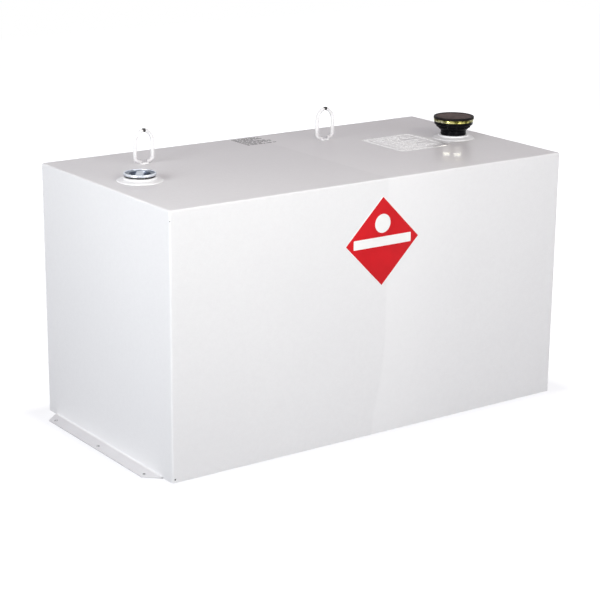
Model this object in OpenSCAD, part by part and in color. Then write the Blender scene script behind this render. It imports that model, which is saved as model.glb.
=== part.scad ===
// Rectangular steel tank for storing and moving liquid, with bolt-down end flanges, two lifting
// links, a plugged pump opening and a capped filler.
// Frame: X along the tank towards the filler, Y from front to rear, Z up.
// The origin is the middle of the base.

/* [Shell] */
// Length over the two end walls, without the mounting flanges
tank_l = 1105; // [900:1:1600]
// Depth from the front wall's face to the rear wall's face
tank_w = 572; // [460:1:800]
// Height from the ground to the top sheet
tank_h = 610; // [400:1:900]
// Thickness of the wall and top sheet
sheet_t = 1.9; // [1.2:0.1:3]
// Thickness of the floor plate
floor_t = 2.7; // [1.9:0.1:3.5]
// Outside radius of the four bent vertical corners
corner_r = 5; // [4.5:0.5:12]
// Outside radius of the bend round the top sheet's edge
top_edge_r = 4; // [3.5:0.1:4.5]
// Height of the top sheet's downturned edge
top_lip = 14; // [10:1:30]
// Width of the front and rear sheets' returns on each end
return_w = 38; // [20:1:70]

/* [Mounting flanges] */
// How far each flange stands out from its end wall
flange_w = 36; // [30:1:60]
// Inside radius of the bend between an end wall and its flange
flange_bend_r = 3; // [2:0.5:5]
// Length of the angled clip at each end of a flange
flange_clip = 30; // [10:1:60]
// Diameter of the bolt holes
bolt_hole_d = 8.5; // [6:0.5:14]
// Distance from the bolt holes' centres to the flange's outer edge
bolt_edge = 12; // [9:1:18]
// Distance from the outer holes' centres to the ends of the flange's outer edge
bolt_end = 12; // [8:1:30]
// Width of the relief cut at each end of a flange's bend
relief_w = 4; // [2:0.5:8]

/* [Openings] */
// Distance from an end wall to the nearer opening's centre
opening_inset = 97.5; // [70:0.5:200]
// Diameter of both openings
opening_d = 56; // [44:0.5:70]
// Wall of the weld flange's raised hub round its opening
hub_wall = 10; // [6:0.5:16]
// Height of the hub above the top sheet
hub_h = 9; // [7:0.5:16]
// Width of the weld flange's sloping rim round its hub
rim_w = 12; // [8:1:24]
// Thickness of that rim at the hub
rim_root = 5.5; // [4:0.5:6]
// Thickness of that rim at its edge
rim_t = 2; // [1:0.5:3.5]
// Leg of the fillet weld round a weld flange
weld_leg = 2.5; // [2:0.5:5]

/* [Bung plug] */
// How far the plug's head reaches past its opening
plug_head_w = 9; // [6:0.5:14]
// Height of the plug's head
plug_head_h = 5.5; // [4:0.5:9]
// Width of the raised rim round the head
plug_rim_w = 3; // [2:0.5:4]
// Depth of the well inside the plug, from the top of its rim
plug_well = 8; // [6.5:0.5:14]
// Length of the shank below the hub's top
plug_shank = 18; // [12:1:30]
// Wall of the shank and the well's floor
plug_wall = 3; // [2:0.5:4]
// Width of the grip bar across the well
grip_bar_w = 18; // [10:1:24]
// How far the grip bar and its lugs lie below the rim
grip_drop = 2; // [1:0.5:4]
// Angle of the grip bar from front to rear, clockwise as seen from above
grip_turn = 35; // [0:5:175]
// Thickness of the plug's gasket
gasket_t = 4; // [2:0.5:6]

/* [Filler neck] */
// How far the neck's collar reaches past its opening
collar_lip = 4; // [2:0.5:8]
// Height of the collar
collar_h = 12; // [6:0.5:18]
// Step in from the neck's shank to the tube inside the cap
neck_step = 2.5; // [1:0.5:5]
// Wall of that tube
neck_wall = 4; // [2:0.5:6]
// Height of that tube above the collar
neck_h = 16; // [10:1:24]
// Length of the neck's shank below the hub's top
neck_shank = 20; // [12:1:30]

/* [Filler cap] */
// Thickness of the cap's skirt
skirt_t = 14.5; // [10:0.5:20]
// Height of the flare between the cap's foot and its skirt
flare_h = 6.5; // [4:0.5:10]
// Height of the ribbed skirt
skirt_h = 6; // [5:0.5:12]
// Step out from the skirt to the upper body
body_step = 7.5; // [4:0.5:12]
// Height of the upper body below the band
body_h = 9; // [6:0.5:14]
// Thickness of the plated band
band_t = 2; // [1:0.5:4]
// Height of the band
band_h = 6.5; // [5:0.5:12]
// Height of the cover above the band
cover_h = 6; // [4:0.5:10]
// Width of the cover's raised rim
cover_rim_w = 5; // [3:0.5:10]
// Depth of the cover's middle below its rim
cover_dish = 1.2; // [0.5:0.1:2]
// Thickness of the gasket under the cap's roof
cap_gasket_t = 2; // [1:0.5:4]
// Number of grip ribs round the skirt
rib_count = 12; // [6:1:24]
// Width of a grip rib
rib_w = 7; // [3:0.5:12]
// How far a rib stands out of the skirt
rib_out = 2.5; // [1:0.5:4]

/* [Lifting links] */
// Distance from the left end wall to the left link's middle
left_link_inset = 197.5; // [120:0.5:350]
// Distance from the right end wall to the right link's middle
right_link_inset = 387; // [180:0.5:420]
// Distance of both links behind the tank's middle
link_y = 152; // [100:1:200]
// Diameter of the links' bar
link_bar = 9.5; // [6:0.5:12]
// Distance between the centres of a link's two legs
link_w = 47; // [40:1:52]
// Radius of the bends between a link's foot and its legs
link_bend_r = 12; // [8:1:14]
// Gap between the two ends of a link's bar, at the middle of its foot
link_gap = 16; // [4:1:18]
// Length of a link's straight legs
link_leg = 33; // [10:1:60]
// Radius of the shoulders above the legs
shoulder_r = 29; // [27:1:60]
// Radius of the crown
crown_r = 8; // [7:1:16]
// How far the weld at a link's foot laps along each end of the bar
link_weld_lap = 3; // [1:0.5:3.5]
// How far that weld spreads on each side of the bar
link_weld_leg = 4; // [2:0.5:8]
// Height of that weld
link_weld_h = 4; // [3:0.5:5]

/* [Placard] */
// Side of the square placard, which stands on one corner
placard_side = 150; // [80:1:260]
// Place of its centre along the tank
placard_x = 12; // [-300:1:300]
// Distance of its top corner below the top sheet
placard_drop = 39; // [20:1:120]
// Thickness of the placard
placard_t = 0.5; // [0.3:0.1:2]

/* [Hidden] */
$fn = 96;

white = [0.93, 0.93, 0.94];
black = [0.05, 0.05, 0.06];
zinc = [0.62, 0.65, 0.7];
rubber = [0.08, 0.08, 0.08];
brass = [0.78, 0.74, 0.36];
dark_brown = [0.2, 0.15, 0.15];
red = [0.85, 0.13, 0.16];

// Clearances
seat_gap = 0.3;    // between the cap and the seats that it lies on
thread_gap = 0.5;  // radial, between a threaded shank and its opening
neck_gap = 1.5;    // radial, between the neck's tube and the cap round it
gasket_inset = 2;  // from the plug's edge in to its gasket, and from the neck's bore to the cap's
foot_lip = 2;      // from the neck's collar out to the edge of the cap's foot
weld_under = 0.5;  // of weld metal between a link's foot and the top sheet
cut = 1;           // how far a cutting shape runs past the face it cuts

// Shell
wall_top = tank_h - top_lip;
inner_l = tank_l - 2 * sheet_t;
inner_w = tank_w - 2 * sheet_t;
inner_corner_r = corner_r - sheet_t;
end_wall_w = tank_w - 2 * return_w;

// Mounting flanges
bend_x = tank_l / 2 + flange_bend_r;
bend_z = sheet_t + flange_bend_r;
flange_tip_x = tank_l / 2 + flange_w;
flange_tip_w = end_wall_w - 2 * flange_clip;
bolt_x = flange_tip_x - bolt_edge;
bolt_y = flange_tip_w / 2 - bolt_end;

// Openings and their weld flanges
opening_x = tank_l / 2 - opening_inset;
hub_r = opening_d / 2 + hub_wall;
rim_r = hub_r + rim_w;
hub_top = tank_h + hub_h;
shank_r = opening_d / 2 - thread_gap;

// Bung plug
plug_r = opening_d / 2 + plug_head_w;
plug_seat_z = hub_top + gasket_t;
plug_top = plug_seat_z + plug_head_h;
well_r = shank_r - plug_wall;
well_floor = plug_top - plug_well;

// Filler neck and cap
collar_r = opening_d / 2 + collar_lip;
collar_top = hub_top + collar_h;
neck_r = shank_r - neck_step;
neck_bore_r = neck_r - neck_wall;
neck_top = collar_top + neck_h;
hollow_r = neck_r + neck_gap;
skirt_r = hollow_r + skirt_t;
body_r = skirt_r + body_step;
band_r = body_r + band_t;
cap_foot = collar_top + seat_gap;
skirt_z = cap_foot + flare_h;
body_z = skirt_z + skirt_h;
band_z = body_z + body_h;
cover_z = band_z + band_h;
cap_gasket_z = neck_top + seat_gap;
cover_edge_r = 2;
body_chamfer = 2;

// Links: a three-centred arch on two legs, whose ends are bent in towards each other
left_link_x = left_link_inset - tank_l / 2;
right_link_x = tank_l / 2 - right_link_inset;
link_r = link_w / 2;
link_weld_l = link_gap + 2 * link_weld_lap;
foot_z = tank_h + weld_under + link_bar / 2;
foot_bend_x = link_r - link_bend_r;
link_leg_z = foot_z + link_bend_r;
link_spring_z = link_leg_z + link_leg;
shoulder_x = shoulder_r - link_r;
crown_rise = sqrt(pow(shoulder_r - crown_r, 2) - pow(shoulder_x, 2));
shoulder_angle = atan2(crown_rise, shoulder_x);
link_crown_z = link_spring_z + crown_rise;
link_sides = 20;

// ---- shell ----

module rounded_rect(l, w, r) {
    square([l, w - 2 * r], center = true);
    square([l - 2 * r, w], center = true);
    for (x = [-1, 1], y = [-1, 1])
        translate([x * (l / 2 - r), y * (w / 2 - r)]) circle(r);
}

module floor_plate() {
    color(white) linear_extrude(floor_t) rounded_rect(inner_l, inner_w, inner_corner_r);
}

// Front (side -1) or rear (side 1) sheet, with its bent corners and the returns on both ends
module side_sheet(side) {
    color(white) linear_extrude(wall_top) intersection() {
        difference() {
            rounded_rect(tank_l, tank_w, corner_r);
            rounded_rect(inner_l, inner_w, inner_corner_r);
        }
        translate([0, side * (tank_w - return_w) / 2]) square([tank_l, return_w], center = true);
    }
}

module front_wall() { side_sheet(-1); }

module rear_wall() { side_sheet(1); }

// Section of an end wall and its outward flange, with the bend between them
module end_section() {
    translate([tank_l / 2 - sheet_t, bend_z]) square([sheet_t, wall_top - bend_z]);
    translate([bend_x, 0]) square([flange_tip_x - bend_x, sheet_t]);
    translate([bend_x, bend_z]) intersection() {
        difference() {
            circle(bend_z);
            circle(flange_bend_r);
        }
        translate([-bend_z, -bend_z]) square(bend_z);
    }
}

// What the angled clip takes off one end of a flange, on the side of +Y
module flange_clip_cut() {
    translate([0, 0, -cut]) linear_extrude(sheet_t + 2 * cut) polygon([
        [bend_x, end_wall_w / 2],
        [flange_tip_x, flange_tip_w / 2],
        [flange_tip_x + cut, flange_tip_w / 2],
        [flange_tip_x + cut, end_wall_w / 2 + cut],
        [bend_x, end_wall_w / 2 + cut]
    ]);
}

// Relief beside the end of a flange's bend. It stops at the wall's face, so the shell stays tight.
module bend_relief_cut() {
    translate([tank_l / 2, end_wall_w / 2 - relief_w, -cut])
        cube([flange_w, relief_w + cut, bend_z + cut]);
}

module end_wall(side) {
    color(white) mirror([side < 0 ? 1 : 0, 0, 0]) difference() {
        rotate([90, 0, 0]) linear_extrude(end_wall_w, center = true) end_section();
        for (rear = [0, 1]) mirror([0, rear, 0]) {
            flange_clip_cut();
            bend_relief_cut();
        }
        for (y = [-bolt_y, 0, bolt_y])
            translate([bolt_x, y, -cut]) cylinder(d = bolt_hole_d, h = sheet_t + 2 * cut);
    }
}

module left_end_wall() { end_wall(-1); }

module right_end_wall() { end_wall(1); }

// Seam weld from below, between the floor plate's end and the bend of an end wall
module floor_weld(side) {
    weld_w = sheet_t + flange_bend_r / 2;
    weld_h = floor_t + (bend_z - floor_t) / 2;
    weld_l = end_wall_w - 2 * relief_w;
    color(white) mirror([side < 0 ? 1 : 0, 0, 0]) rotate([90, 0, 0])
        linear_extrude(weld_l, center = true) difference() {
            translate([tank_l / 2 - sheet_t, 0]) square([weld_w, weld_h]);
            translate([bend_x, bend_z]) circle(bend_z);
        }
}

module left_floor_weld() { floor_weld(-1); }

module right_floor_weld() { floor_weld(1); }

// Section of the top sheet's edge, measured outward from the centre of a corner's bend
module lip_section() {
    arc_x = corner_r - top_edge_r;
    translate([0, -sheet_t]) square([arc_x, sheet_t]);
    translate([arc_x, -top_edge_r]) intersection() {
        difference() {
            circle(top_edge_r);
            circle(top_edge_r - sheet_t);
        }
        square(top_edge_r);
    }
    translate([inner_corner_r, -top_lip]) square([sheet_t, top_lip - top_edge_r]);
}

// Straight stretch of that edge, of length l, at distance d from the middle, facing angle a
module lip_run(l, d, a) {
    rotate([0, 0, a]) translate([d, 0, tank_h]) rotate([90, 0, 0])
        linear_extrude(l, center = true) lip_section();
}

module top_plate() {
    flat_l = tank_l - 2 * corner_r;
    flat_w = tank_w - 2 * corner_r;
    color(white) difference() {
        union() {
            translate([0, 0, tank_h - sheet_t / 2]) cube([flat_l, flat_w, sheet_t], center = true);
            for (a = [0, 180]) lip_run(flat_w, flat_l / 2, a);
            for (a = [90, 270]) lip_run(flat_l, flat_w / 2, a);
            for (c = [[1, 1, 0], [-1, 1, 90], [-1, -1, 180], [1, -1, 270]])
                translate([c[0] * flat_l / 2, c[1] * flat_w / 2, tank_h])
                    rotate([0, 0, c[2]]) rotate_extrude(angle = 90) lip_section();
        }
        for (x = [-opening_x, opening_x])
            translate([x, 0, tank_h - sheet_t - cut]) cylinder(d = opening_d, h = sheet_t + 2 * cut);
    }
}

// ---- openings ----

// Flange welded round an opening: a rim that slopes up to a raised hub
module weld_flange(x) {
    color(white) translate([x, 0, tank_h]) rotate_extrude() polygon([
        [opening_d / 2, 0],
        [rim_r, 0],
        [rim_r, rim_t],
        [hub_r, rim_root],
        [hub_r, hub_h],
        [opening_d / 2, hub_h]
    ]);
}

// Fillet weld round the rim of a weld flange
module flange_weld(x) {
    color(white) translate([x, 0, tank_h]) rotate_extrude() translate([rim_r, 0])
        polygon([[0, 0], [weld_leg, 0], [0, min(weld_leg, rim_t)]]);
}

module bung_flange() { weld_flange(-opening_x); }

module bung_flange_weld() { flange_weld(-opening_x); }

module fill_flange() { weld_flange(opening_x); }

module fill_flange_weld() { flange_weld(opening_x); }

// ---- bung plug ----

// Head with a raised rim, and a hollow shank that is closed by the floor of the well
module bung_plug_shell() {
    shank_z = hub_top - plug_shank;
    rotate_extrude() polygon([
        [0, well_floor - plug_wall],
        [well_r, well_floor - plug_wall],
        [well_r, shank_z],
        [shank_r, shank_z],
        [shank_r, plug_seat_z],
        [plug_r, plug_seat_z],
        [plug_r, plug_top],
        [plug_r - plug_rim_w, plug_top],
        [plug_r - plug_rim_w, plug_seat_z + plug_wall],
        [well_r, plug_seat_z + plug_wall],
        [well_r, well_floor],
        [0, well_floor]
    ]);
}

// Grip bar across the well, and a lug on each side of it
module bung_plug_grip() {
    grip_h = plug_well - grip_drop;
    lug_w = grip_bar_w / 2;
    intersection() {
        translate([0, 0, well_floor]) cylinder(r = well_r, h = grip_h);
        rotate([0, 0, -grip_turn]) {
            translate([-grip_bar_w / 2, -well_r, well_floor]) cube([grip_bar_w, 2 * well_r, grip_h]);
            for (side = [-1, 1]) translate([side * well_r, 0, well_floor + grip_h / 4])
                cube([lug_w, lug_w, grip_h / 2], center = true);
        }
    }
}

module bung_plug() {
    color(zinc) translate([-opening_x, 0, 0]) {
        bung_plug_shell();
        bung_plug_grip();
    }
}

module bung_plug_gasket() {
    color(rubber) translate([-opening_x, 0, hub_top]) rotate_extrude()
        translate([shank_r, 0]) square([plug_r - gasket_inset - shank_r, gasket_t]);
}

// ---- filler ----

// Threaded shank in the flange, collar on the hub, and tube inside the cap
module fill_neck() {
    color(black) translate([opening_x, 0, 0]) rotate_extrude() polygon([
        [neck_bore_r, hub_top - neck_shank],
        [shank_r, hub_top - neck_shank],
        [shank_r, hub_top],
        [collar_r, hub_top],
        [collar_r, collar_top],
        [neck_r, collar_top],
        [neck_r, neck_top],
        [neck_bore_r, neck_top]
    ]);
}

// Moulded body of the cap, hollow over the neck's tube, with grip ribs round its skirt
module fill_cap_body() {
    roof_z = cap_gasket_z + cap_gasket_t;
    color(black) translate([opening_x, 0, 0]) {
        rotate_extrude() polygon([
            [hollow_r, cap_foot],
            [collar_r + foot_lip, cap_foot],
            [skirt_r, skirt_z],
            [skirt_r, body_z],
            [body_r - body_chamfer, body_z],
            [body_r, body_z + body_chamfer],
            [body_r, cover_z],
            [0, cover_z],
            [0, roof_z],
            [hollow_r, roof_z]
        ]);
        for (i = [0 : rib_count - 1]) rotate([0, 0, i * 360 / rib_count])
            translate([skirt_r - rib_out, -rib_w / 2, skirt_z]) cube([2 * rib_out, rib_w, skirt_h]);
    }
}

module fill_cap_gasket() {
    bore_r = neck_bore_r - gasket_inset;
    color(rubber) translate([opening_x, 0, cap_gasket_z]) rotate_extrude()
        translate([bore_r, 0]) square([hollow_r - bore_r, cap_gasket_t]);
}

module fill_cap_band() {
    color(brass) translate([opening_x, 0, band_z]) rotate_extrude()
        translate([body_r, 0]) square([band_t, band_h]);
}

// Cover over the cap, with a round edge and a shallow dish inside its raised rim
module fill_cap_cover() {
    dish_r = band_r - cover_rim_w;
    edge_x = band_r - cover_edge_r;
    color(dark_brown) translate([opening_x, 0, cover_z]) rotate_extrude() difference() {
        union() {
            square([edge_x, cover_h]);
            square([band_r, cover_h - cover_edge_r]);
            translate([edge_x, cover_h - cover_edge_r]) intersection() {
                circle(cover_edge_r);
                square(cover_edge_r);
            }
        }
        polygon([
            [0, cover_h - cover_dish],
            [dish_r - cover_dish, cover_h - cover_dish],
            [dish_r + cut, cover_h + cut],
            [0, cover_h + cut]
        ]);
    }
}

// ---- lifting links ----

// Points of an arc as [x, z, angle], in n steps from angle a to angle b; the last is optional
function arc(x, z, r, a, b, n, with_last) = [
    for (i = [0 : with_last ? n : n - 1])
        let (t = a + (b - a) * i / n)
        [x + r * cos(t), z + r * sin(t), t]
];

// Centreline of a link, from the end of its right foot over the crown to the end of its left foot
link_path = concat(
    [[link_gap / 2, foot_z, 270]],
    arc(foot_bend_x, link_leg_z, link_bend_r, 270, 360, 8, true),
    arc(-shoulder_x, link_spring_z, shoulder_r, 0, shoulder_angle, 10, false),
    arc(0, link_crown_z, crown_r, shoulder_angle, 180 - shoulder_angle, 8, false),
    arc(shoulder_x, link_spring_z, shoulder_r, 180 - shoulder_angle, 180, 10, true),
    arc(-foot_bend_x, link_leg_z, link_bend_r, 180, 270, 8, true),
    [[-link_gap / 2, foot_z, 270]]
);

// Round bar along link_path
module lifting_link(x) {
    bar_r = link_bar / 2;
    last = (len(link_path) - 1) * link_sides;
    points = [
        for (c = link_path, k = [0 : link_sides - 1])
            let (a = k * 360 / link_sides)
            [c[0] + bar_r * cos(a) * cos(c[2]), bar_r * sin(a), c[1] + bar_r * cos(a) * sin(c[2])]
    ];
    sides = [
        for (this = [0 : link_sides : last - 1], k = [0 : link_sides - 1])
            let (next = this + link_sides, k2 = (k + 1) % link_sides)
            [this + k, this + k2, next + k2, next + k]
    ];
    ends = [
        [for (k = [link_sides - 1 : -1 : 0]) k],
        [for (k = [0 : link_sides - 1]) last + k]
    ];
    color(white) translate([x, link_y, 0]) polyhedron(points, concat(sides, ends), convexity = 4);
}

// Weld along both sides of a link's foot and between the bar's ends, shaped round the bar
module link_weld(x) {
    bar_r = link_bar / 2;
    foot_cut_l = 2 * (link_weld_lap + cut);
    color(white) translate([x, link_y, tank_h]) difference() {
        for (rear = [0, 1]) mirror([0, rear, 0]) rotate([90, 0, 90])
            linear_extrude(link_weld_l, center = true)
                polygon([[0, 0], [bar_r + link_weld_leg, 0], [bar_r, link_weld_h], [0, link_weld_h]]);
        for (side = [-1, 1]) translate([side * (link_gap + foot_cut_l) / 2, 0, foot_z - tank_h]) {
            rotate([0, 90, 0]) cylinder(r = bar_r, h = foot_cut_l, center = true);
            translate([0, 0, link_weld_h / 2])
                cube([foot_cut_l, link_bar, link_weld_h], center = true);
        }
    }
}

module left_lifting_link() { lifting_link(left_link_x); }

module left_link_weld() { link_weld(left_link_x); }

module right_lifting_link() { lifting_link(right_link_x); }

module right_link_weld() { link_weld(right_link_x); }

// ---- placard ----

module front_placard() {
    half_diagonal = placard_side / sqrt(2);
    color(red) translate([placard_x, -tank_w / 2, tank_h - placard_drop - half_diagonal])
        rotate([90, 0, 0]) linear_extrude(placard_t)
            rotate(45) square(placard_side, center = true);
}

floor_plate();
left_floor_weld();
right_floor_weld();
front_wall();
rear_wall();
left_end_wall();
right_end_wall();
top_plate();
bung_flange();
bung_flange_weld();
bung_plug();
bung_plug_gasket();
fill_flange();
fill_flange_weld();
fill_neck();
fill_cap_body();
fill_cap_gasket();
fill_cap_band();
fill_cap_cover();
left_lifting_link();
left_link_weld();
right_lifting_link();
right_link_weld();
front_placard();
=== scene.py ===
"""Looks of a white rectangular steel liquid tank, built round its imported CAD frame.

Frame: X along the tank towards the filler, Y from front to rear, Z up, in metres. Detailed pieces
are drawn in millimetres and become metres as their mesh is made.
"""

import math

import bmesh
import bpy
from mathutils import Matrix, Quaternion, Vector


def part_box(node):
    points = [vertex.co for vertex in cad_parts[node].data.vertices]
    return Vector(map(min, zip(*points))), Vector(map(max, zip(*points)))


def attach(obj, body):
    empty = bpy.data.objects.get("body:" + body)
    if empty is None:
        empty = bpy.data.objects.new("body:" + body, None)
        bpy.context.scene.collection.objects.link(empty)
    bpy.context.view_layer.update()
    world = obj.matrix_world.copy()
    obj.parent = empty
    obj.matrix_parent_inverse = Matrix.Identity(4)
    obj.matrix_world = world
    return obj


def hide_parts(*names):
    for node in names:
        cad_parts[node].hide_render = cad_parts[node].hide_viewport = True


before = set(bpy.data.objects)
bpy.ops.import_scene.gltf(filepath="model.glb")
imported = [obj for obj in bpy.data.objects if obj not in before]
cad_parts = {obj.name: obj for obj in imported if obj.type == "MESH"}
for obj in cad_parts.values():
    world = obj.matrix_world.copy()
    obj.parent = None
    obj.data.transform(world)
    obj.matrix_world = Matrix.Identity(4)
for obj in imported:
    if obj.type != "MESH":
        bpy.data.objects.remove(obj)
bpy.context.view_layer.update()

MM = 0.001

# Sizes in millimetres, and one angle in degrees, that the frame's boxes don't give
# Weld-on flanges, their welds and the pipe threads in them
OPENING_R = 28
HUB_R = 38
RIM_T = 2
RIM_ROOT = 5.5
WELD_LEG = 2.5
SHANK_R = 27.5
PIPE_PITCH = 2.2
PIPE_DEPTH = 0.9
THREAD_ROW = 0.4
# Bung plug
PLUG_RIM_W = 3
WELL_R = 24.5
WELL_DEPTH = 8
GRIP_TURN = 35
# Filler neck and cap
TUBE_R = 25
HOLLOW_R = 26.5
CAP_PITCH = 4
CAP_DEPTH = 0.9
SKIRT_R = 41
BODY_R = 48.5
COVER_R = 50.5
# Lifting links
LINK_GAP = 16
LINK_CHAMFER = 1
LINK_BEND_R = 12
LINK_LEG = 33
LINK_SHOULDER_R = 29
LINK_CROWN_R = 8
# Walls and bolt-down flanges
CORNER_R = 5
BOLT_EDGE = 12
BOLT_END = 12
FLANGE_CLIP = 30


def low_mm(node):
    """Lower corner of a node's box."""
    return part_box(node)[0] / MM


def high_mm(node):
    """Upper corner of a node's box."""
    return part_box(node)[1] / MM


def size_mm(node):
    """Width, depth and height of a node's box."""
    return high_mm(node) - low_mm(node)


def middle_mm(node):
    """Middle of a node's box."""
    return (low_mm(node) + high_mm(node)) / 2


def foot_mm(node):
    """Middle of a node's base."""
    middle = middle_mm(node)
    return Vector((middle.x, middle.y, low_mm(node).z))


def on_circle(radius, angle, height=0.0):
    """Point at that radius, angle in radians and height round the Z axis."""
    return Vector((radius * math.cos(angle), radius * math.sin(angle), height))


TOP_Z = high_mm("top_plate").z
WALL_X = high_mm("front_wall").x
WALL_Y = high_mm("rear_wall").y
FLANGE_X = high_mm("right_end_wall").x
FLANGE_Y = high_mm("right_end_wall").y

# ---------------------------------------------------------------- camera, lamps and background


def make_camera():
    """The view from the front left, slightly above, as a long studio lens sees it."""
    azimuth, elevation, roll = math.radians(-35.44), math.radians(16.35), math.radians(0.52)
    distance, aside, below = 4.375, -0.0111, -0.0457
    back = Vector((
        math.sin(azimuth) * math.cos(elevation),
        -math.cos(azimuth) * math.cos(elevation),
        math.sin(elevation),
    ))
    turn = (-back).to_track_quat("-Z", "Y") @ Quaternion((0, 0, 1), roll)
    data = bpy.data.cameras.new("camera")
    data.sensor_width = 36
    data.lens = 108.36
    data.clip_end = 60
    camera = bpy.data.objects.new("camera", data)
    camera.rotation_mode = "QUATERNION"
    camera.rotation_quaternion = turn
    camera.location = Vector((0, 0, TOP_Z / 2)) * MM + turn @ Vector((aside, below, distance))
    bpy.context.scene.collection.objects.link(camera)
    bpy.context.scene.camera = camera


def area_light(name, place, aim, size, watts, colour, mirrored=False):
    """A softbox that the camera doesn't see, and gloss sees only if mirrored."""
    data = bpy.data.lights.new(name, "AREA")
    data.shape = "RECTANGLE"
    data.size, data.size_y = size
    data.energy = watts
    data.color = colour
    lamp = bpy.data.objects.new(name, data)
    lamp.location = place
    lamp.rotation_mode = "QUATERNION"
    lamp.rotation_quaternion = (Vector(aim) - Vector(place)).to_track_quat("-Z", "Y")
    lamp.visible_camera = False
    lamp.visible_glossy = mirrored
    bpy.context.scene.collection.objects.link(lamp)
    return lamp


def make_glints():
    """Lamps that only gloss sees: two far ones for the cap's band, two tiny ones for the top's gloss."""
    band = middle_mm("fill_cap_band") * MM
    rise = Vector((0, 0, math.tan(math.radians(11.75))))
    far_distance, near_distance, near_drop = 2.5, 0.055, 0.013
    for far_degrees, near_degrees in ((-163, -146.6), (-104, -117)):
        far = on_circle(1, math.radians(far_degrees))
        near = on_circle(1, math.radians(near_degrees))
        far_place = band + far_distance * (far + rise)
        near_place = band + near_distance * near - Vector((0, 0, near_drop))
        near_aim = near_place + near - rise
        for place, aim, size, watts, colour in (
            (far_place, band, (0.6, 0.4), 26, (1.0, 0.98, 0.94)),
            (near_place, near_aim, (0.017, 0.009), 0.0044, (1.0, 0.975, 0.87)),
        ):
            glint = area_light("glint", place, aim, size, watts, colour, mirrored=True)
            glint.visible_diffuse = False


def make_lamps():
    """Softboxes in front of the tank, on its left, on its right and behind it."""
    middle = (0, 0, 0.3)
    # Each has its name, place, aim, size, watts and colour
    area_light("front_left", (-0.6, -1.8, 1.1), (-0.3, -0.3, 0.5), (1.0, 0.7), 14, (0.99, 1.0, 0.95))
    area_light("front_right", (1.0, -3.2, 1.25), (0.2, -0.3, 0.5), (2.0, 0.9), 35, (0.89, 0.96, 1.0))
    area_light("front_high", (0.55, -2.5, 2.1), (0.4, -0.1, 0.6), (0.5, 0.4), 16.5, (1.0, 0.92, 0.80), True)
    area_light("left_near", (-2.0, -0.3, 1.2), (-0.6, -0.1, 0.5), (1.0, 0.8), 14, (1.0, 0.97, 0.96))
    area_light("left", (-2.5, -0.5, 1.15), (-0.6, -0.1, 0.5), (1.4, 0.8), 22.5, (0.87, 0.98, 0.99))
    area_light("right", (3.6, 1.0, 0.35), middle, (2.0, 0.7), 72, (0.97, 1.0, 0.97))
    area_light("rear", (1.1, 3.8, 0.35), middle, (3.0, 0.7), 84, (0.97, 1.0, 0.97))


def seen_directly(tree):
    """1 for what the camera, gloss and glass see, and 0 for diffuse light."""
    path = tree.nodes.new("ShaderNodeLightPath")
    seen = path.outputs["Is Camera Ray"]
    for ray in ("Is Glossy Ray", "Is Transmission Ray"):
        either = tree.nodes.new("ShaderNodeMath")
        either.operation = "MAXIMUM"
        tree.links.new(seen, either.inputs[0])
        tree.links.new(path.outputs[ray], either.inputs[1])
        seen = either.outputs[0]
    return seen


def make_world():
    """Even studio light, with a white background for what the camera, gloss and glass see."""
    world = bpy.data.worlds.new("studio")
    world.use_nodes = True
    bpy.context.scene.world = world
    nodes, links = world.node_tree.nodes, world.node_tree.links
    nodes.clear()
    output = nodes.new("ShaderNodeOutputWorld")
    mix = nodes.new("ShaderNodeMixShader")
    light = nodes.new("ShaderNodeBackground")
    light.inputs["Color"].default_value = (1.0, 0.84, 0.98, 1)
    light.inputs["Strength"].default_value = 0.227
    seen = nodes.new("ShaderNodeBackground")
    seen.inputs["Color"].default_value = (1, 1, 1, 1)
    seen.inputs["Strength"].default_value = 1.0
    links.new(seen_directly(world.node_tree), mix.inputs["Fac"])
    links.new(light.outputs[0], mix.inputs[1])
    links.new(seen.outputs[0], mix.inputs[2])
    links.new(mix.outputs[0], output.inputs["Surface"])


# ---------------------------------------------------------------- materials


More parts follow.
